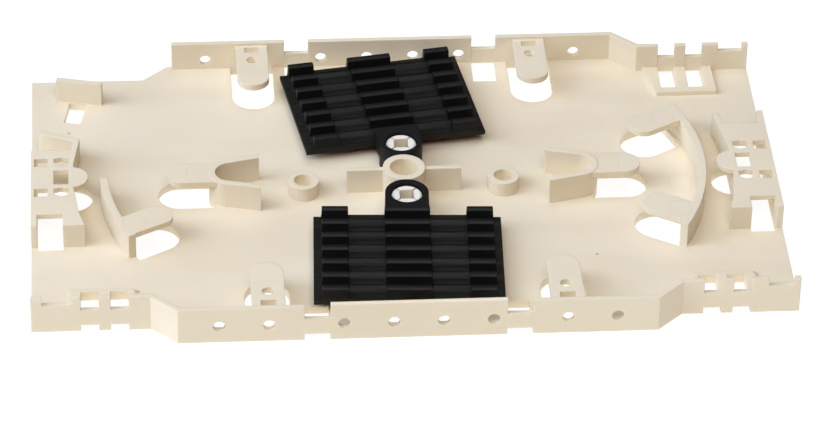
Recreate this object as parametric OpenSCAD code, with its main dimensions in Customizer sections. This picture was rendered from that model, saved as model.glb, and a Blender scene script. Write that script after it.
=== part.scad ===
// Fibre splice tray: one moulded tray, and two splice holders that turn on its snap posts.
// Millimetres, +Z up. The origin is on the table, under the middle of the tray.
// X runs along the tray, Y across it, and the rounded crest is on the front (-Y) wall.

/* [Tray plate] */
// Length of the tray from end to end
tray_length = 158; // [154:1:190]
// Length of the wider middle part
middle_length = 98.4; // [94:0.2:108]
// How far each long side steps in towards the ends
end_step = 5; // [3:0.5:7]
// Length of each slanted step
step_run = 5.5; // [4:0.5:8]
// Thickness of the floor
floor_thickness = 1.8; // [1.4:0.1:2.4]

/* [Long walls] */
// Thickness of the long walls
wall_thickness = 1.1; // [0.9:0.1:1.5]
// Height of the long walls above the table
wall_height = 8.3; // [7.8:0.1:10]
// Height of the round-topped crest in the middle of the front wall
crest_height = 9; // [8.6:0.1:10.5]
// Distance from the middle of the tray to each bridge gap
bridge_x = 20.75; // [20:0.25:23]
// Width of each bridge gap
bridge_width = 5.3; // [4:0.1:6]
// Depth of the floor slot behind each bridge
bridge_slot = 7.5; // [5:0.5:8]
// Thickness of the bars that close the gaps
bar_thickness = 1; // [0.8:0.1:1.4]
// Height of each bar's lower edge above the table
bar_bottom = 1.5; // [1:0.1:2]
// Height of each bar
bar_depth = 3.75; // [3:0.25:4.5]
// Diameter of the holes along the long walls
wall_hole = 2.5; // [2:0.1:3]
// Height of the wall holes above the table
wall_hole_z = 4; // [3.6:0.1:4.4]
// Spacing of the wall holes
hole_pitch = 10.2; // [8:0.2:10.6]
// Width of the floor slots under some of the wall holes
wall_slot = 4; // [3:0.2:5]
// Length of those slots, across the tray
wall_slot_length = 5.5; // [4:0.5:6]
// Distance from the wall to those slots
wall_slot_setback = 1.5; // [1:0.1:2]

/* [Retention tabs] */
// Width of every retention tab
tab_width = 6.9; // [5:0.1:7.4]
// Thickness of every retention tab
tab_thickness = 1.4; // [1:0.1:1.8]
// Height of the tabs on the walls, above the table
wall_tab_top = 7.7; // [7.3:0.1:7.8]
// Distance from the middle of the tray to each wall tab
wall_tab_x = 30.6; // [30:0.2:34]
// How far a wall tab reaches over the floor
wall_tab_reach = 15.2; // [10:0.1:16]
// Diameter of the round hole in a wall tab
tab_hole = 2.45; // [2:0.05:3]
// Distance from the wall to the round hole
tab_hole_setback = 5.5; // [4.5:0.1:7]
// Length of the slot in a wall tab, across the tab
tab_slot_length = 3.2; // [2:0.1:4]
// Width of that slot
tab_slot_width = 1.9; // [1.4:0.1:2.2]
// Distance from the wall to that slot
tab_slot_setback = 0.7; // [0.5:0.1:1]
// Free edge of a floor window on each side of its tab
window_side = 1.2; // [0.6:0.1:1.4]
// Free edge of a floor window past the tip of its tab
window_lead = 0.7; // [0.4:0.1:1.6]

/* [Spool fins] */
// Distance from the middle of the tray to the rounded end of a fin
fin_x = 41.4; // [39:0.2:43]
// Length of a fin
fin_length = 10.8; // [7:0.2:12]
// Width of a fin across its open end
fin_mouth = 12.2; // [10:0.2:16]
// Distance between the outer faces of its legs, where they would reach that end
fin_back = 7; // [6:0.2:8]
// Thickness of a fin
fin_thickness = 1.3; // [1:0.1:1.8]
// Height of the fins above the table
fin_top = 7.8; // [7:0.1:8.2]
// How far a tab reaches out from the rounded end of a fin
fin_tab_reach = 8.9; // [7:0.1:9.5]
// How far the floor window under that tab reaches back beside the rounded end
fin_window_back = 1.1; // [0.6:0.1:1.2]

/* [Guide arcs] */
// Outer radius of the guide arcs
arc_radius = 48; // [44:0.5:52]
// Thickness of the guide arcs
arc_thickness = 1.7; // [1.2:0.1:2.2]
// Height of the guide arcs above the table
arc_top = 7.5; // [7:0.1:8.2]
// Distance of the arc centres behind the middle of the tray
arc_centre_y = 1.5; // [0:0.1:2]
// Angle from the X axis to the front end of the right arc
arc_front_angle = 30; // [28:0.5:32]
// Angle from the X axis to the front end of the left arc
left_arc_front_angle = 28.5; // [27:0.5:32]
// Angle from the X axis to the back end of the right arc
arc_back_angle = 24.5; // [23:0.5:27]
// Angle from the X axis to the back end of the left arc
short_arc_angle = 2.5; // [1:0.5:6]
// Gap between each arc and the tongue of its end block
fibre_gap = 2.4; // [2:0.1:4]
// Angle of the arc tabs from the X axis
arc_tab_angle = 30; // [26:1:34]
// Distance of the arc tabs from the middle line
arc_tab_y = 18.2; // [17.5:0.1:19]
// Length of the arc tabs
arc_tab_reach = 11; // [8:0.1:12]
// Thickness of the arc tabs
arc_tab_thickness = 1.2; // [1:0.1:1.6]
// Free edge of a floor window on each side of an arc tab
arc_window_side = 1.5; // [0.8:0.1:1.6]
// Free edge of a floor window past the tip of an arc tab
arc_window_lead = 1.4; // [0.8:0.1:1.8]
// Ledge of floor between the back arc and its window
back_window_ledge = 0.6; // [0.4:0.1:1]

/* [Bosses] */
// Outer diameter of the centre boss
centre_boss = 9; // [8.2:0.1:10]
// Bore of the centre boss
centre_bore = 5.9; // [4.5:0.1:6.4]
// Height of the centre boss above the table
centre_boss_top = 7.9; // [7:0.1:8.2]
// Distance from the middle to the tip of each wing of the centre boss
wing_reach = 12.2; // [8:0.2:13]
// Thickness of the wings
wing_thickness = 1.1; // [0.8:0.1:1.6]
// Height of the wings above the table
wing_top = 7.6; // [6.5:0.1:7.8]
// Distance from the middle to each small boss
small_boss_x = 21.3; // [19:0.1:23]
// Outer diameter of the small bosses
small_boss = 6.6; // [6:0.1:7.6]
// Bore of the small bosses
small_bore = 4.1; // [3:0.1:4.4]
// Height of the small bosses above the table
small_boss_top = 5.1; // [4.5:0.1:6]

/* [Snap posts] */
// Diameter of the low seat that carries a holder's ring
seat = 8.4; // [7:0.1:8.6]
// Height of the seat above the table
seat_top = 2; // [1.95:0.05:2.4]
// Diameter of the post's neck
neck = 5.2; // [4.8:0.1:5.6]
// How far the snap head stands out past the neck
head_lip = 0.75; // [0.5:0.05:0.9]
// Height of the snap head
head_height = 1.45; // [1.1:0.05:1.6]
// How far the rim of the snap head slopes in towards its top
head_bevel = 0.5; // [0.2:0.05:0.7]
// Width of the square hollow in the snap head
head_hollow = 3; // [2.2:0.1:3.2]
// Width of the cuts between the four fingers
finger_cut = 0.4; // [0.3:0.1:0.7]

/* [End blocks] */
// Depth of an end block at its tongue, from the end of the tray
block_depth = 9; // [8.6:0.1:10]
// Height of the end blocks above the table
block_top = 7.5; // [7:0.1:8.2]
// Thickness of the plate that covers an end block
roof_thickness = 1.15; // [0.9:0.05:1.5]
// Thickness of the inner wall of an end block
block_wall = 1.2; // [0.9:0.1:1.5]
// Thickness of the outer wall of an end block
outer_wall = 1.3; // [0.9:0.1:1.3]
// Distance from the middle line to the front of an end block
block_front = 17; // [16:0.2:19]
// Distance from the middle line to the back of the right end block
block_back = 17.9; // [16.5:0.1:20]
// Distance from the middle line to the front edge of the cover plates
roof_front = 13; // [11:0.2:14]
// Distance from the middle line to the back edge of the right cover plate
roof_back = 13.5; // [11:0.1:15]
// Distance from the middle line to the back edge of the left cover plate
short_roof_back = 9.7; // [8.5:0.1:10.5]
// How far a tongue stands out from its end block
tongue_reach = 3.1; // [2:0.1:3.5]
// Width of a tongue
tongue_width = 7; // [6:0.1:7.6]
// Free edge of the floor window past the tip of a tongue
tongue_lead = 1; // [0.6:0.1:1.4]
// Gap between the back of the left end block and the end of the tray
pocket_gap = 1.65; // [1.4:0.05:2]
// Width of the cable-tie slots in the cover plates
tie_slot = 2.8; // [2.2:0.1:3.2]
// Length of the straight cable-tie slots, across the block
tie_slot_length = 2.8; // [2:0.1:3.2]
// Wall left between those slots and the end of the tray
tie_slot_rim = 0.75; // [0.45:0.05:0.8]
// Distance from the middle line to the tie slots
tie_slot_y = 3.95; // [3.5:0.05:4.4]

/* [Corner pads and entry guides] */
// Distance from the end of the tray to the middle of each pair of corner windows
corner_x = 15.05; // [14.6:0.05:16]
// Spacing of the two windows in a corner pad
corner_pitch = 6.1; // [5.4:0.1:6.6]
// Width of each corner window
corner_window = 3.7; // [3:0.1:4]
// Depth of each corner window from the bar, at the back
corner_window_depth = 8; // [6:0.5:8.5]
// Depth of each corner window from the bar, at the front
front_window_depth = 9; // [6:0.5:9]
// Width of the corner pads, from the outer face of the wall
pad_width = 10.7; // [10.5:0.1:12]
// Height of the back corner pad above the table
pad_top = 2.8; // [2.4:0.1:3.4]
// Height of the front corner pads above the table
front_pad_top = 2.3; // [2.1:0.1:3.4]
// Height of the low part of the wall beside each corner
low_wall_top = 6.6; // [5.6:0.1:7.4]
// Length of that low part
low_wall_length = 5.3; // [4:0.1:5.6]
// How much further the low part at the front left reaches from the end
long_low_wall = 1.9; // [0:0.1:2]
// Height of the slanted entry guide above the table
guide_top = 7.2; // [6.4:0.1:7.8]
// Thickness of the slanted guides
guide_thickness = 1.2; // [0.9:0.1:1.6]

/* [Splice holders] */
// Number of splices that a holder takes
splices = 6; // [3:1:6]
// Spacing of the splices
splice_pitch = 4.53; // [4:0.01:4.6]
// Thickness of a holder's teeth
tooth = 1.73; // [1.3:0.01:2]
// Width of a holder
holder_width = 39.4; // [36:0.2:41]
// Width of the middle row of teeth
middle_teeth = 9.8; // [8.8:0.1:11]
// Width of each outer row of teeth
outer_teeth = 5.8; // [4:0.1:6]
// Bevel along the top of a tooth
tooth_bevel = 0.4; // [0.2:0.05:0.5]
// Bevel on the two ends of a tooth
end_bevel = 0.25; // [0.1:0.05:0.4]
// How far each end of a tooth leans in towards its top
end_lean = 0.15; // [0.05:0.05:0.3]
// Bare edge of the plate outside the outer teeth
plate_edge = 1.6; // [1:0.1:2.5]
// Height of the underside of a holder's plate above the table
plate_z = 3.9; // [3.5:0.05:4.2]
// Thickness of a holder's plate
plate_thickness = 0.9; // [0.7:0.05:1.2]
// Height of a holder above the underside of its plate
holder_height = 4.1; // [3.8:0.1:4.3]
// Depth of the cradles between the teeth
cradle_depth = 0.5; // [0.3:0.05:0.7]
// Height of the ribs between the cradles
rib_height = 0.3; // [0.1:0.05:0.4]
// Distance from the ring's middle to the plate
plate_start = 4.4; // [4.2:0.1:6]
// Wall of the ring around the snap head
ring_wall = 1.1; // [0.8:0.05:1.3]
// Gap between the teeth of a holder and the long wall
holder_wall_gap = 4.4; // [3.5:0.1:8]

/* [Fits] */
// Running clearance of a ring on its neck, on the radius
bore_clearance = 0.05; // [0.02:0.01:0.1]
// Clearance around the snap head, on the radius
head_clearance = 0.15; // [0.1:0.05:0.3]
// Play of a holder between its seat and the snap head, at each face
seat_clearance = 0.05; // [0.02:0.01:0.1]
// Gap between a ring and the centre boss
ring_gap = 0.1; // [0.1:0.05:0.6]

/* [Resting angles] */
// Angle at which the rear holder stands
rear_angle = 9; // [-12:0.5:12]
// Angle at which the front holder stands
front_angle = -2.65; // [-12:0.05:12]

/* [Hidden] */
$fn = 40;
cut = 1; // how far a cutting shape runs past the face it opens

// Holder sizes that the tray follows
ring_drop = plate_z - seat_top - seat_clearance;
ring_bore = neck + 2 * bore_clearance;
head = neck + 2 * head_lip;
counterbore = head + 2 * head_clearance;
ring = counterbore + 2 * ring_wall;
plate_reach = plate_start + splices * splice_pitch + tooth;
cradle_z = plate_thickness + cradle_depth;
counterbore_z = holder_height - 2;
head_z = plate_z + counterbore_z + seat_clearance;

// Tray sizes
post_y = centre_boss / 2 + ring_gap + ring / 2;
half_length = tray_length / 2;
half_width = post_y + plate_reach + holder_wall_gap + wall_thickness;
end_half_width = half_width - end_step;
wall_face = half_width - wall_thickness;
bridge_inner = bridge_x - bridge_width / 2;
window_width = tab_width + 2 * window_side;
slant = sqrt(step_run * step_run + end_step * end_step);
arc_x = half_length - block_depth - tongue_reach - fibre_gap - arc_radius;
arc_inner = arc_radius - arc_thickness;
arc_middle = arc_radius - arc_thickness / 2;
arc_tab_root = 4; // tabs and their windows start this far outside the arc and are cut to it
fin_open_x = fin_x - fin_length;
fin_flare = (fin_mouth - fin_back) / 2 / fin_length;
fin_slope = sqrt(1 + fin_flare * fin_flare);
fin_round = fin_back / 2 / (fin_slope - fin_flare);
leg = block_depth - 2.3; // the solid front leg ends this far from the end of the tray
guide_left = [-half_length + 5.4, end_half_width - 7];
guide_right = [-half_length + 15.2, end_half_width - 9.2];

// ---------- helpers ----------

module both_ends() {
    children();
    mirror([1, 0, 0]) children();
}

module both_sides() {
    children();
    mirror([0, 1, 0]) children();
}

// The corners that have a wall: back right, front right and front left
module walled_corners() {
    both_sides() children();
    rotate(180) children();
}

// Flat shape that runs along +X from the origin and ends in a full round
module tongue_shape(reach, width) {
    translate([0, -width / 2]) square([reach - width / 2, width]);
    translate([reach - width / 2, 0]) circle(d = width);
}

// Upright slab of a given thickness between two points, on its left side
module slab_shape(from, to, thickness) {
    run = to - from;
    side = [-run.y, run.x] * thickness / norm(run);
    polygon([from, to, to + side, from + side]);
}

// ---------- floor ----------

// Outline of the tray; the inset follows the slanted steps
module tray_outline(inset = 0, past_ends = 0) {
    shift = inset * (slant - step_run) / end_step;
    x1 = middle_length / 2 - shift;
    x2 = middle_length / 2 + step_run - shift;
    x3 = half_length + past_ends;
    y1 = half_width - inset;
    y2 = end_half_width - inset;
    back = [[x3, y2], [x2, y2], [x1, y1], [-x1, y1], [-x2, y2], [-x3, y2]];
    polygon(concat(back, -back));
}

// Slots through wall and floor that the bars bridge
module bridge_gaps() {
    both_ends() both_sides()
        translate([bridge_inner, half_width - bar_thickness - bridge_slot])
            square([bridge_width, bar_thickness + bridge_slot + cut]);
    corner_windows(corner_window_depth);
    both_ends() mirror([0, 1, 0]) corner_windows(front_window_depth);
}

module corner_windows(depth) {
    for (side = [-1, 1])
        translate([half_length - corner_x + side * corner_pitch / 2 - corner_window / 2,
                   end_half_width - bar_thickness - depth])
            square([corner_window, bar_thickness + depth + cut]);
}

module wall_tab_windows() {
    both_ends() both_sides()
        translate([wall_tab_x, wall_face]) rotate(-90)
            tongue_shape(wall_tab_reach + window_lead, window_width);
}

// Slots under the two middle holes of each long wall and the last hole at the front left
module wall_slots() {
    both_ends() both_sides() wall_slot_at(hole_pitch / 2);
    rotate(180) wall_slot_at(wall_tab_x + hole_pitch);
}

module wall_slot_at(x) {
    translate([x - wall_slot / 2, wall_face - wall_slot_setback - wall_slot_length])
        square([wall_slot, wall_slot_length]);
}

// These windows reach back beside the rounded ends of the fins, which stand in them
module fin_windows() {
    both_ends() translate([fin_x - fin_window_back, 0])
        tongue_shape(fin_window_back + fin_tab_reach + window_lead + window_side, window_width);
}

// The front arcs stand a little over the outer edges of their windows, and the floor
// keeps a narrow ledge along the back one
module arc_windows() {
    both_ends() within_radius(arc_inner + 0.2) arc_tab_place() arc_window();
    within_radius(arc_inner - back_window_ledge) mirror([0, 1]) arc_tab_place() arc_window();
}

// Keeps what lies within a radius of the right arc's centre
module within_radius(r) {
    intersection() {
        translate([arc_x, arc_centre_y]) circle(r = r, $fn = 96);
        children();
    }
}

module arc_window() {
    translate([-arc_tab_root, 0])
        tongue_shape(arc_tab_root + arc_tab_reach + arc_window_lead, tab_width + 2 * arc_window_side);
}

module entry_window() {
    polygon([guide_left + [2.8, -0.9], guide_left + [1.5, -8.3],
             guide_left + [5.1, -8.9], guide_left + [6.6, -1.6]]);
}

module boss_bores() {
    circle(d = centre_bore);
    both_ends() translate([small_boss_x, 0]) circle(d = small_bore);
}

module floor_plate() {
    linear_extrude(floor_thickness) difference() {
        tray_outline();
        bridge_gaps();
        wall_tab_windows();
        wall_slots();
        fin_windows();
        arc_windows();
        end_windows();
        entry_window();
        boss_bores();
    }
}

// ---------- walls ----------

module wall_shape() {
    difference() {
        tray_outline();
        tray_outline(wall_thickness, cut);
        bridge_gaps();
        // cable entry: the back left corner has no wall
        translate([-half_length - cut, 0])
            square([half_length + cut - middle_length / 2 + 1, half_width + cut]);
    }
}

module long_walls() {
    difference() {
        union() {
            linear_extrude(wall_height) wall_shape();
            front_crest();
        }
        wall_holes();
        both_sides() low_wall(outer_wall, low_wall_length);
        rotate(180) low_wall(outer_wall + long_low_wall / 2, low_wall_length + long_low_wall / 2);
    }
    bars();
}

// Cuts the wall down beside a corner, from a distance in from the end of the tray
module low_wall(start, length) {
    translate([half_length - start - length, end_half_width - wall_thickness - cut, low_wall_top])
        cube([length, wall_thickness + 2 * cut, crest_height]);
}

// The middle of the front wall is a little higher and has a full round top
module front_crest() {
    translate([-bridge_inner, -half_width, 0]) rotate([90, 0, 90])
        linear_extrude(2 * bridge_inner) {
            square([wall_thickness, crest_height - wall_thickness / 2]);
            translate([wall_thickness / 2, crest_height - wall_thickness / 2])
                circle(d = wall_thickness, $fn = 24);
        }
}

module wall_holes() {
    for (x = [hole_pitch / 2, hole_pitch * 3 / 2, wall_tab_x, wall_tab_x + hole_pitch])
        both_ends() both_sides()
            translate([x, half_width - wall_thickness - cut, wall_hole_z]) rotate([-90, 0, 0])
                cylinder(d = wall_hole, h = wall_thickness + 2 * cut, $fn = 24);
}

// Bars run a little into the wall on each side
module bars() {
    both_ends() both_sides()
        translate([bridge_inner - bar_thickness, half_width - bar_thickness, bar_bottom])
            cube([bridge_width + 2 * bar_thickness, bar_thickness, bar_depth]);
    walled_corners() for (side = [-1, 1])
        translate([half_length - corner_x + side * corner_pitch / 2 - corner_window / 2 - bar_thickness,
                   end_half_width - bar_thickness, bar_bottom])
            cube([corner_window + 2 * bar_thickness, bar_thickness, bar_depth]);
}

module wall_tabs() {
    both_ends() both_sides()
        translate([wall_tab_x, wall_face, wall_tab_top - tab_thickness]) rotate(-90)
            linear_extrude(tab_thickness) difference() {
                union() {
                    tongue_shape(wall_tab_reach, tab_width);
                    translate([-wall_thickness / 2, -tab_width / 2])
                        square([wall_thickness, tab_width]);
                }
                translate([tab_hole_setback, 0]) circle(d = tab_hole, $fn = 24);
                translate([tab_slot_setback, -tab_slot_length / 2])
                    square([tab_slot_width, tab_slot_length]);
            }
}

// Raised pads around the corner windows
module corner_pads() {
    corner_pad(pad_top, corner_window_depth);
    both_ends() mirror([0, 1, 0]) corner_pad(front_pad_top, front_window_depth);
}

module corner_pad(top, window_depth) {
    linear_extrude(top) difference() {
        polygon([for (p = [[23.4, 0.5], [8, 0.5], [7.8, pad_width], [21.1, pad_width + 0.1]])
            [half_length - p.x, end_half_width - p.y]]);
        corner_windows(window_depth);
    }
}

// ---------- fibre guides ----------

// V-shaped fins that the fibre is wound around, each with a tab on its rounded end
module spool_fins() {
    both_ends() {
        linear_extrude(fin_top) difference() {
            fin_outline();
            fin_outline(fin_thickness, cut);
        }
        translate([0, 0, wall_tab_top - tab_thickness]) linear_extrude(tab_thickness) difference() {
            translate([fin_x - fin_round, 0]) tongue_shape(fin_round + fin_tab_reach, tab_width);
            fin_outline(fin_thickness / 2, cut);
        }
    }
}

// A fin's outer outline, or with an inset the outline of its hollow
module fin_outline(inset = 0, past_mouth = 0) {
    r = fin_round - inset;
    touch = [fin_x - fin_round + r * fin_flare / fin_slope, r / fin_slope];
    mouth = [fin_open_x - past_mouth, fin_mouth / 2 - inset * fin_slope + fin_flare * past_mouth];
    polygon([[touch.x, -touch.y], touch, mouth, [mouth.x, -mouth.y]]);
    translate([fin_x - fin_round, 0]) circle(r = r, $fn = 36);
}

// Places a tab's root on the right front arc, pointing in and back over the floor
module arc_tab_place() {
    root_x = arc_x + sqrt(pow(arc_middle, 2) - pow(arc_tab_y + arc_centre_y, 2));
    translate([root_x, -arc_tab_y]) rotate(180 - arc_tab_angle) children();
}

// Keeps what lies between the ends of an arc, out to the middle of its wall
module within_arc(front_angle) {
    intersection() {
        translate([arc_x, arc_centre_y]) intersection() {
            circle(r = arc_middle, $fn = 96);
            polygon([[0, 0], arc_end(-front_angle + 0.3), arc_end(arc_back_angle - 0.3)]);
        }
        children();
    }
}

function arc_end(angle) = 2 * arc_radius * [cos(angle), sin(angle)];

module arc_wall(from, to) {
    translate([arc_x, arc_centre_y, 0]) rotate(from)
        rotate_extrude(angle = to - from, $fn = 96)
            translate([arc_inner, 0]) square([arc_thickness, arc_top]);
}

module arc_tab_shape() {
    translate([-arc_tab_root, 0]) tongue_shape(arc_tab_root + arc_tab_reach, tab_width);
}

// The right arc covers both front and back, the left one only the front
module guide_arcs() {
    arc_wall(-arc_front_angle, arc_back_angle);
    mirror([1, 0, 0]) arc_wall(-left_arc_front_angle, -short_arc_angle);
    translate([0, 0, arc_top - arc_tab_thickness]) linear_extrude(arc_tab_thickness) {
        within_arc(arc_front_angle) arc_tab_place() arc_tab_shape();
        mirror([1, 0]) within_arc(left_arc_front_angle) arc_tab_place() arc_tab_shape();
        within_arc(arc_front_angle) mirror([0, 1]) arc_tab_place() arc_tab_shape();
    }
}

// Slanted guide at the cable entry in the back left corner
module entry_guide() {
    linear_extrude(guide_top) slab_shape(guide_left, guide_right, guide_thickness);
}

// ---------- bosses and posts ----------

module bosses() {
    difference() {
        union() {
            cylinder(d = centre_boss, h = centre_boss_top);
            translate([-wing_reach, -wing_thickness / 2, 0])
                cube([2 * wing_reach, wing_thickness, wing_top]);
            both_ends() translate([small_boss_x, 0, 0])
                cylinder(d = small_boss, h = small_boss_top, $fn = 36);
        }
        translate([0, 0, -cut]) linear_extrude(centre_boss_top + 2 * cut) boss_bores();
    }
}

// Low seat, neck and a snap head that is split into four fingers
module snap_post() {
    difference() {
        rotate_extrude() polygon([
            [0, 0], [seat / 2, 0], [seat / 2, seat_top], [neck / 2, seat_top],
            [neck / 2, head_z], [head / 2, head_z], [head / 2, head_z + head_height * 0.4],
            [head / 2 - head_bevel * 0.3, head_z + head_height * 0.8],
            [head / 2 - head_bevel, head_z + head_height], [0, head_z + head_height]]);
        translate([0, 0, seat_top]) linear_extrude(head_z + head_height) {
            square(head_hollow, center = true);
            for (turn = [45, 135]) rotate(turn) square([head + cut, finger_cut], center = true);
        }
    }
}

module snap_posts() {
    both_sides() translate([0, post_y, 0]) snap_post();
}

// ---------- end blocks ----------

// Points of a block are given as [distance in from the end of the tray, y].
function from_end(points) = [for (p = points) [half_length - p.x, p.y]];

// Back corners of the inner walls: the left block closes with a slanted wall
right_corner = [block_depth + 2, block_back - 0.8];
left_corner = [block_depth + 1.4, block_back - 4.3];

function back_line(corner, in) = block_back - (block_back - corner.y) * in / corner.x;

module block_outline(corner) {
    polygon(from_end([
        [0, -block_front], [block_depth + 2.3, -block_front], [block_depth + 1, -block_front + 4.8],
        [block_depth, -tongue_width / 2], [block_depth, tongue_width / 2 + 1.2],
        corner, [0, block_back]]));
}

// Hollow between the inner and the outer wall; back_wall is 0 where it is open at the back
module block_channel(corner, back_wall) {
    in = corner.x - block_wall;
    past = back_wall > 0 ? -back_wall : cut;
    polygon(from_end([
        [outer_wall, -roof_front], [block_depth + 1.1 - block_wall, -roof_front],
        [block_depth - block_wall, -tongue_width / 2], [block_depth - block_wall, tongue_width / 2 + 1.2],
        [in, back_line(corner, in) + past], [outer_wall, back_line(corner, outer_wall) + past]]));
}

right_open = 0;
left_closed = guide_thickness * 1.1;

// A tie slot is a D-shaped hole beside a straight one
module tie_slots() {
    for (y = [tie_slot_y + tie_slot, -tie_slot_y]) {
        translate([half_length - block_depth + 2.55, y]) rotate(-90)
            tongue_shape(tie_slot, tie_slot + 0.3);
        translate([half_length - tie_slot_rim - tie_slot_length, y - tie_slot])
            square([tie_slot_length, tie_slot]);
    }
}

module end_block(corner, back_wall, roof_end) {
    difference() {
        linear_extrude(block_top) block_outline(corner);
        translate([0, 0, -cut])
            linear_extrude(block_top - roof_thickness + cut) block_channel(corner, back_wall);
        translate([0, 0, -cut]) linear_extrude(block_top + 2 * cut) {
            // open behind and in front of the cover plate
            intersection() {
                block_channel(corner, back_wall);
                translate([0, roof_end]) square([tray_length, block_back]);
            }
            translate([half_length - leg, -block_front - cut])
                square([leg - outer_wall, block_front - roof_front + cut]);
            translate([half_length - block_depth + 1, -2.5]) square([3.2, 5]);
            tie_slots();
        }
    }
    translate([half_length - block_depth + block_wall / 2, 0, block_top - roof_thickness]) rotate(180)
        linear_extrude(roof_thickness) intersection() {
            tongue_shape(tongue_reach + block_wall / 2, tongue_width);
            translate([0, -tongue_width]) square(2 * tongue_width);
        }
}

// The right block is open below nearly to its back, the left one only under its front slots
module end_windows() {
    both_ends() translate([half_length - block_depth, 0]) rotate(180)
        tongue_shape(tongue_reach + tongue_lead, tongue_width + 2 * window_side);
    block_window(right_corner, right_open, block_back - 2.7);
    mirror([1, 0, 0]) block_window(left_corner, left_closed, short_roof_back - 4.7);
}

module block_window(corner, back_wall, end) {
    intersection() {
        block_channel(corner, back_wall);
        translate([0, -block_front]) square([tray_length, block_front + end]);
    }
    translate([half_length - leg, -block_front - 1])
        square([leg - outer_wall, block_front + 1 - roof_front]);
}

// Behind its cover plate the left block is open towards the end of the tray
module end_blocks() {
    end_block(right_corner, right_open, roof_back);
    mirror([1, 0, 0]) difference() {
        end_block(left_corner, left_closed, short_roof_back);
        translate([half_length - pocket_gap, short_roof_back, -cut])
            cube([pocket_gap + cut, block_back, block_top + 2 * cut]);
    }
}

// ---------- whole tray ----------

module tray() {
    color("#efe4c8") {
        floor_plate();
        long_walls();
        wall_tabs();
        corner_pads();
        spool_fins();
        guide_arcs();
        entry_guide();
        bosses();
        snap_posts();
        end_blocks();
    }
}

// ---------- splice holders ----------
// Drawn with the ring on the origin and the plate on its +Y side, from the plate's underside up

// Side view of the teeth, tapered for the mould and bevelled on top
module teeth_shape() {
    taper = 0.1;
    for (i = [0 : splices])
        translate([i * splice_pitch, 0])
            polygon([[0, 0], [tooth, 0], [tooth - taper, holder_height - tooth_bevel],
                     [tooth - taper - tooth_bevel, holder_height],
                     [taper + tooth_bevel, holder_height], [taper, holder_height - tooth_bevel]]);
}

// Front view of a row of teeth; it runs past the teeth above and below
module row_shape(x, width) {
    side = width / 2 - end_lean;
    top = side - end_bevel - cut;
    translate([x, 0])
        polygon([[-width / 2, -cut], [width / 2, -cut], [side, holder_height - end_bevel],
                 [top, holder_height + cut], [-top, holder_height + cut],
                 [-side, holder_height - end_bevel]]);
}

// Side view of the plate with one shallow cradle for each splice
module cradle_shape() {
    dip = cradle_depth - 0.1;
    gap = splice_pitch - tooth;
    radius = (gap * gap / 4 + dip * dip) / (2 * dip);
    difference() {
        square([plate_reach - plate_start, cradle_z]);
        for (i = [0 : splices - 1])
            translate([tooth / 2 + (i + 0.5) * splice_pitch, cradle_z - dip + radius])
                circle(r = radius, $fn = 24);
    }
    for (i = [0 : splices])
        translate([i * splice_pitch + tooth * 0.2, plate_thickness])
            square([tooth * 0.6, cradle_depth + rib_height]);
}

// Turns a side view into a strip of the given width, centred on x
module strip(x, width) {
    translate([x - width / 2, plate_start, 0]) rotate([90, 0, 90])
        linear_extrude(width) children();
}

module splice_holder() {
    outer_x = holder_width / 2 - plate_edge - outer_teeth / 2;
    strip(0, holder_width) square([plate_reach - plate_start, plate_thickness]);
    strip(0, holder_width - 2 * plate_edge) cradle_shape();
    intersection() {
        strip(0, holder_width) teeth_shape();
        translate([0, plate_reach + cut, 0]) rotate([90, 0, 0])
            linear_extrude(plate_reach - plate_start + 2 * cut) {
                row_shape(0, middle_teeth);
                row_shape(-outer_x, outer_teeth);
                row_shape(outer_x, outer_teeth);
            }
    }
    difference() {
        union() {
            translate([0, 0, -ring_drop]) cylinder(d = ring, h = ring_drop + holder_height);
            translate([-ring / 2, 0, 0]) cube([ring, plate_start + tooth / 2, holder_height]);
        }
        translate([0, 0, -ring_drop - cut]) cylinder(d = ring_bore, h = ring_drop + holder_height);
        translate([0, 0, counterbore_z]) cylinder(d = counterbore, h = holder_height);
    }
}

module rear_splice_holder() {
    color("#26282a") translate([0, post_y, plate_z]) rotate(rear_angle) splice_holder();
}

module front_splice_holder() {
    color("#1d1f20") translate([0, -post_y, plate_z]) rotate(180 + front_angle) splice_holder();
}

tray();
rear_splice_holder();
front_splice_holder();
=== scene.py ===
# A fibre splice tray: one shallow ivory moulding with two black splice holders that turn on
# its snap posts. Everything is in metres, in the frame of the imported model.
import math
import bpy
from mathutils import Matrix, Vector


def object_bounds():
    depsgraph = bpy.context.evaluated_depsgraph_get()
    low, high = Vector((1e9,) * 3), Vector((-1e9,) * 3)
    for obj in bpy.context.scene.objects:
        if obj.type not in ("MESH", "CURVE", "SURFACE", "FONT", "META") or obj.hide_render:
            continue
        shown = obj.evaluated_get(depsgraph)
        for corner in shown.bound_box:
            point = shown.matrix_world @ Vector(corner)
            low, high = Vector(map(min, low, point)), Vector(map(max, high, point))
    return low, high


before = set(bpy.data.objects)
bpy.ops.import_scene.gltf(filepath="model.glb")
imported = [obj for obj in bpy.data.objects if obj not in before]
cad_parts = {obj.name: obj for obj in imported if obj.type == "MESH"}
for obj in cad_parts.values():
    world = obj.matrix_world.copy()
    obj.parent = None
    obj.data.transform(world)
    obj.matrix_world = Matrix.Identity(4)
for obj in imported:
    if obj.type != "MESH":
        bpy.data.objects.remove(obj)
cad_low, cad_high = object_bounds()

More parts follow.
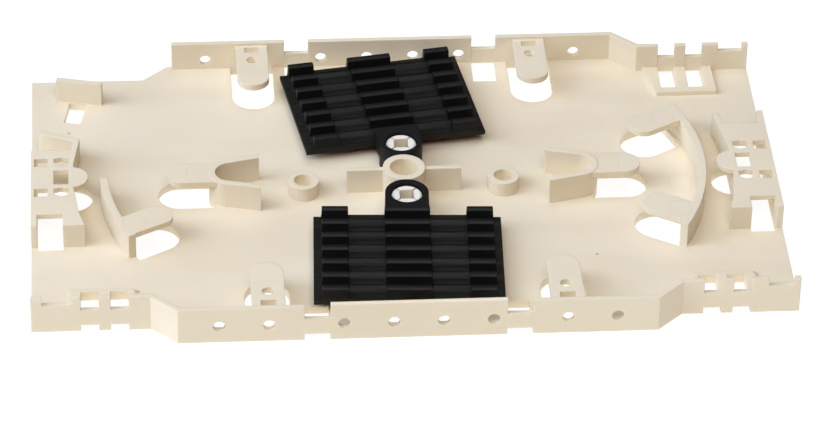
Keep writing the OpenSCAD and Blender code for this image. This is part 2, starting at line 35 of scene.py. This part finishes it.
# Camera: a long lens at the front of the tray, a little to the left of its middle, looking
# down at about 37 degrees. It leans by one degree, as on a tripod levelled by hand.
camera_tilt, camera_lean, camera_turn = 53.268, -1.008, -3.887
camera_data = bpy.data.cameras.new("camera")
camera_data.sensor_width = 36
camera_data.lens = 190.14
camera_data.clip_start = 0.05
camera_data.clip_end = 20
camera = bpy.data.objects.new("camera", camera_data)
camera.location = (-0.05859, -0.73907, 0.54935)
camera.rotation_euler = [math.radians(angle) for angle in (camera_tilt, camera_lean, camera_turn)]
bpy.context.scene.collection.objects.link(camera)
bpy.context.scene.camera = camera
bpy.context.scene.view_settings.view_transform = "Standard"

# Tray: one injection moulding in ivory ABS with a satin skin and softly rounded edges. It has
# faint clouds and flow marks, rings left by the mould's pins, four small dark spots, two of which
# are painted shadow at the ends of the front pads, and snap heads that went white when their
# fingers were bent in to take the rings of the holders.
ivory_dark, ivory_pale = (0.790, 0.695, 0.505), (0.825, 0.738, 0.552)
flow_mark_tint, flow_mark_amount, flow_mark_shine = (0.775, 0.665, 0.465), 0.30, 0.05
pin_ring_tint, pin_ring_amount = (0.600, 0.500, 0.350), 0.12
# Tint of the small dark spots, two of which are painted shadow at the front pads' ends.
spot_and_shadow_tint, spot_and_shadow_amount = (0.200, 0.150, 0.090), 0.50
bent_tint = (0.880, 0.835, 0.740)
ivory_sheen, sheen_range = 0.40, 0.20
edge_radius = 0.00018
grain_depth = 0.0001

tab_face = (0.0070, 0.0080)  # heights between which the upper face of a tab lies
floor_face = (0.0010, 0.0020)
fin_tab_pin, arc_tab_pin = (0.0436, 0.0004), (0.0573, 0.0163)  # repeated in all four quarters
right_floor_pin = (0.0594, 0.0010)
pin_radius = 0.0024
pin_rim, pin_rim_fade = 0.00004, 0.00022
# Dark spots: the two at (-0.0570, -0.0328) and (0.0710, -0.0325), at the corners of the front pads,
# are painted shadow of the pads' ends; the other two are small dark spots.
spots_and_pad_shadows_at = [(-0.0710, 0.0237), (-0.0570, -0.0328), (0.0710, -0.0325), (0.0390, -0.0243)]
dark_spot_radius, dark_spot_fade = 0.00015, 0.00050

post_y = 0.0092
snap_head_reach = 0.0038
snap_hollow_half = 0.00153
ring_bottom = 0.0056


class Plastic:
    """A moulded plastic, with the steps that its pattern is built from."""

    def __init__(self, name, gloss):
        self.material = bpy.data.materials.new(name)
        self.material.use_nodes = True
        self.tree = self.material.node_tree
        self.skin = self.tree.nodes["Principled BSDF"]
        self.skin.inputs["IOR"].default_value = 1.5
        self.skin.inputs["Specular IOR Level"].default_value = gloss
        self.place = self.step("ShaderNodeTexCoord").outputs["Object"]
        sides = self.step("ShaderNodeSeparateXYZ", {"Vector": self.place})
        self.x, self.y, self.height = sides.outputs

    def step(self, kind, inputs=None, **settings):
        new = self.tree.nodes.new(kind)
        new.location = (200 * len(self.tree.nodes), 300)
        for name, value in settings.items():
            setattr(new, name, value)
        for name, value in (inputs or {}).items():
            if isinstance(value, bpy.types.NodeSocket):
                self.tree.links.new(value, new.inputs[name])
            else:
                new.inputs[name].default_value = value
        return new

    def maths(self, operation, *values):
        return self.step("ShaderNodeMath", dict(enumerate(values)), operation=operation).outputs[0]

    def fade(self, value, full_at, none_at):
        return self.step("ShaderNodeMapRange",
                         {"Value": value, "From Min": full_at, "From Max": none_at,
                          "To Min": 1.0, "To Max": 0.0},
                         interpolation_type="SMOOTHSTEP").outputs["Result"]

    def distance(self, vector, spot):
        return self.step("ShaderNodeVectorMath", {0: vector, 1: (*spot, 0)},
                         operation="DISTANCE").outputs["Value"]

    def noise(self, vector, scale, detail):
        return self.step("ShaderNodeTexNoise",
                         {"Vector": vector, "Scale": scale, "Detail": detail}).outputs["Fac"]

    def ramp(self, value, low, low_colour, high, high_colour):
        new = self.step("ShaderNodeValToRGB", {"Fac": value})
        stops = zip(new.color_ramp.elements, (low, high), (low_colour, high_colour))
        for stop, position, colour in stops:
            stop.position = position
            stop.color = (*colour, 1)
        return new.outputs["Color"]

    def tint(self, below, amount, colour):
        return self.step("ShaderNodeMix", {0: amount, 6: below, 7: (*colour, 1)},
                         data_type="RGBA").outputs[2]

    def rounded_edges(self):
        return self.step("ShaderNodeBevel", {"Radius": edge_radius}, samples=6).outputs["Normal"]

    def bump(self, height, below, strength, depth, invert=False):
        return self.step("ShaderNodeBump",
                         {"Height": height, "Normal": below,
                          "Strength": strength, "Distance": depth},
                         invert=invert).outputs["Normal"]

    def finish(self, colour, roughness, normal):
        for name, value in (("Base Color", colour), ("Roughness", roughness), ("Normal", normal)):
            self.tree.links.new(value, self.skin.inputs[name])

    def put_on(self, name):
        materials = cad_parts[name].data.materials
        materials.clear()
        materials.append(self.material)


ivory = Plastic("ivory_plastic", gloss=0.40)
ivory.skin.inputs["Subsurface Weight"].default_value = 0.25
ivory.skin.inputs["Subsurface Radius"].default_value = (1.0, 0.65, 0.35)
ivory.skin.inputs["Subsurface Scale"].default_value = 0.0015

clouds = ivory.noise(ivory.place, scale=26, detail=3)
colour = ivory.ramp(clouds, 0.30, ivory_dark, 0.70, ivory_pale)
stretched = ivory.step("ShaderNodeMapping", {"Vector": ivory.place, "Scale": (18, 120, 60)})
flow = ivory.noise(stretched.outputs["Vector"], scale=1.0, detail=2)
flow_marks = ivory.fade(flow, full_at=0.36, none_at=0.52)
colour = ivory.tint(colour, ivory.maths("MULTIPLY", flow_marks, flow_mark_amount), flow_mark_tint)

across = ivory.maths("ABSOLUTE", ivory.x)
along = ivory.maths("ABSOLUTE", ivory.y)
quarter = ivory.step("ShaderNodeCombineXYZ", {"X": across, "Y": along}).outputs["Vector"]
plan = ivory.step("ShaderNodeCombineXYZ", {"X": ivory.x, "Y": ivory.y}).outputs["Vector"]
pin_rings = 0.0
for pin, (low, high) in ((fin_tab_pin, tab_face), (arc_tab_pin, tab_face),
                         (right_floor_pin, floor_face)):
    off_rim = ivory.maths("SUBTRACT", ivory.distance(quarter, pin), pin_radius)
    pin_ring = ivory.fade(ivory.maths("ABSOLUTE", off_rim), pin_rim, pin_rim_fade)
    pin_ring = ivory.maths("MULTIPLY", pin_ring, ivory.maths("GREATER_THAN", ivory.height, low))
    pin_ring = ivory.maths("MULTIPLY", pin_ring, ivory.maths("LESS_THAN", ivory.height, high))
    if pin == right_floor_pin:
        pin_ring = ivory.maths("MULTIPLY", pin_ring, ivory.maths("GREATER_THAN", ivory.x, 0.0))
    pin_rings = ivory.maths("ADD", pin_rings, pin_ring)
# Painted shadow and dark spots: two of these spots stand in for the shadow at the front pads' ends.
spots_and_painted_shadows = 0.0
for spot in spots_and_pad_shadows_at:
    dark_spot = ivory.fade(ivory.distance(plan, spot), dark_spot_radius, dark_spot_fade)
    spots_and_painted_shadows = ivory.maths("ADD", spots_and_painted_shadows, dark_spot)
colour = ivory.tint(colour, ivory.maths("MULTIPLY", pin_rings, pin_ring_amount), pin_ring_tint)
colour = ivory.tint(colour, ivory.maths("MULTIPLY", spots_and_painted_shadows, spot_and_shadow_amount), spot_and_shadow_tint)

on_head = ivory.maths("LESS_THAN", ivory.distance(quarter, (0.0, post_y)), snap_head_reach)
beside_post = ivory.maths("ABSOLUTE", ivory.maths("SUBTRACT", along, post_y))
from_middle = ivory.maths("MAXIMUM", across, beside_post)
past_hollow = ivory.maths("GREATER_THAN", from_middle, snap_hollow_half)
bent = ivory.maths("MULTIPLY", on_head, past_hollow)
bent = ivory.maths("MULTIPLY", bent, ivory.maths("GREATER_THAN", ivory.height, ring_bottom))
crazing = ivory.noise(ivory.place, scale=900, detail=3)
crazing = ivory.ramp(crazing, 0.35, (0.75, 0.75, 0.75), 0.60, (1, 1, 1))
colour = ivory.tint(colour, ivory.maths("MULTIPLY", bent, crazing), bent_tint)

sheen = ivory.noise(ivory.place, scale=160, detail=4)
roughness = ivory.maths("MULTIPLY_ADD", sheen, sheen_range, ivory_sheen)
roughness = ivory.maths("SUBTRACT", roughness, ivory.maths("MULTIPLY", flow_marks, flow_mark_shine))
ring_and_spot_bumps = ivory.maths("ADD", pin_rings, spots_and_painted_shadows)
normal = ivory.rounded_edges()
normal = ivory.bump(ring_and_spot_bumps, normal, strength=0.25, depth=grain_depth, invert=True)
grain = ivory.noise(ivory.place, scale=2600, detail=2)
normal = ivory.bump(grain, normal, strength=0.08, depth=grain_depth)
ivory.finish(colour, roughness, normal)
ivory.put_on("tray")

# Splice holders: two black ABS combs with a dull, finely pitted skin, and streaks along the
# rows of their plates. The tops of their teeth carry a painted highlight, a greyer tint broken up
# by noise.
# The ring of each is snapped over one of the tray's posts.
black_dark, black_pale = (0.0042, 0.0040, 0.0033), (0.0064, 0.0061, 0.0050)
black_sheen = 0.46
# Painted highlight on the tops of the teeth: its grey tint and how much of it is laid on.
top_highlight_tint, top_highlight_amount = (0.014, 0.014, 0.015), 0.3
dusty_tint = (0.0108, 0.0101, 0.0066)
tooth_top, below_top_highlight = 0.0081, 0.0074
plate_top, above_plate = 0.0054, 0.0058
streak_size = (0.014, 0.0009, 0.0030)
streak_depth = 0.00025
resting_turns = (("rear_splice_holder", 9), ("front_splice_holder", -2.65))
for name, resting_turn in resting_turns:
    black = Plastic(name.replace("splice_holder", "holder_black"), gloss=0.24)
    clouds = black.noise(black.place, scale=120, detail=3)
    colour = black.ramp(clouds, 0.35, black_dark, 0.70, black_pale)
    # Painted highlight: the tooth tops, above 7.4 mm, turn greyer, broken up by noise.
    highlit_tops = black.fade(black.height, tooth_top, below_top_highlight)
    highlight_noise = black.noise(black.place, scale=700, detail=4)
    painted_top_highlight = black.maths("MULTIPLY", highlit_tops, highlight_noise)
    colour = black.tint(colour, black.maths("MULTIPLY", painted_top_highlight, top_highlight_amount), top_highlight_tint)
    along_rows = black.step("ShaderNodeMapping",
                            {"Vector": black.place, "Scale": streak_size,
                             "Rotation": (0, 0, math.radians(resting_turn))},
                            vector_type="TEXTURE").outputs["Vector"]
    streaks = black.noise(along_rows, scale=1.0, detail=3)
    plate = black.fade(black.height, plate_top, above_plate)
    pale_streaks = black.fade(streaks, full_at=0.62, none_at=0.36)
    dusty = black.maths("MULTIPLY", plate, pale_streaks)
    colour = black.tint(colour, dusty, dusty_tint)
    sheen = black.noise(black.place, scale=300, detail=4)
    roughness = black.maths("MULTIPLY_ADD", sheen, sheen_range, black_sheen)
    plate_streaks = black.maths("MULTIPLY", plate, streaks)
    normal = black.bump(plate_streaks, black.rounded_edges(), strength=0.6, depth=streak_depth)
    pits = black.noise(black.place, scale=1900, detail=3)
    normal = black.bump(pits, normal, strength=0.15, depth=grain_depth)
    black.finish(colour, roughness, normal)
    black.put_on(name)

# Table: a plain white sheet that runs well past the view, lit from below like a light table
# so that it stays white in the windows of the tray.
table_size = 6
table_gap = 0.0002
bpy.ops.object.select_all(action="DESELECT")
bpy.ops.mesh.primitive_plane_add(size=table_size, location=(0, 0, cad_low[2] - table_gap))
table = bpy.context.object
table.name = "table"
paper = bpy.data.materials.new("white_paper")
paper.use_nodes = True
skin = paper.node_tree.nodes["Principled BSDF"]
skin.inputs["Base Color"].default_value = (0.25, 0.25, 0.25, 1)
skin.inputs["Roughness"].default_value = 0.9
skin.inputs["Specular IOR Level"].default_value = 0.1
skin.inputs["Emission Color"].default_value = (1, 1, 1, 1)
skin.inputs["Emission Strength"].default_value = 0.85
table.data.materials.append(paper)


# Studio light: two soft boxes at the left and a little in front throw the soft shadows, one
# stands high behind the camera, one overhead, and a weak warm one fills in from the right.
# The room around them is nearly dark.
def soft_box(name, at, size, power, colour):
    data = bpy.data.lights.new(name, "AREA")
    data.shape = "RECTANGLE"
    data.size, data.size_y = size
    data.energy = power
    data.color = colour
    box = bpy.data.objects.new(name, data)
    box.location = at
    box.rotation_euler = Vector(at).to_track_quat("Z", "Y").to_euler()
    bpy.context.scene.collection.objects.link(box)


soft_box("high_left_box", at=(-0.80, -0.35, 1.12), size=(0.8, 0.8),
         power=6.9, colour=(0.84, 1.0, 1.22))
soft_box("low_left_box", at=(-1.20, -0.20, 0.66), size=(0.8, 0.8),
         power=9.2, colour=(0.94, 1.0, 1.34))
soft_box("front_box", at=(-0.02, -0.90, 1.30), size=(1.0, 0.8),
         power=10.6, colour=(1.06, 1.01, 1.02))
soft_box("overhead_box", at=(0.14, 0.50, 1.52), size=(1.0, 0.8),
         power=5.9, colour=(0.98, 1.02, 1.08))
soft_box("right_box", at=(1.12, -0.40, 0.80), size=(0.8, 0.8),
         power=0.4, colour=(1.6, 0.7, 0.3))
room = bpy.data.worlds.new("surround")
room.use_nodes = True
room.node_tree.nodes["Background"].inputs["Color"].default_value = (1.0, 0.92, 0.80, 1)
room.node_tree.nodes["Background"].inputs["Strength"].default_value = 0.01
bpy.context.scene.world = room
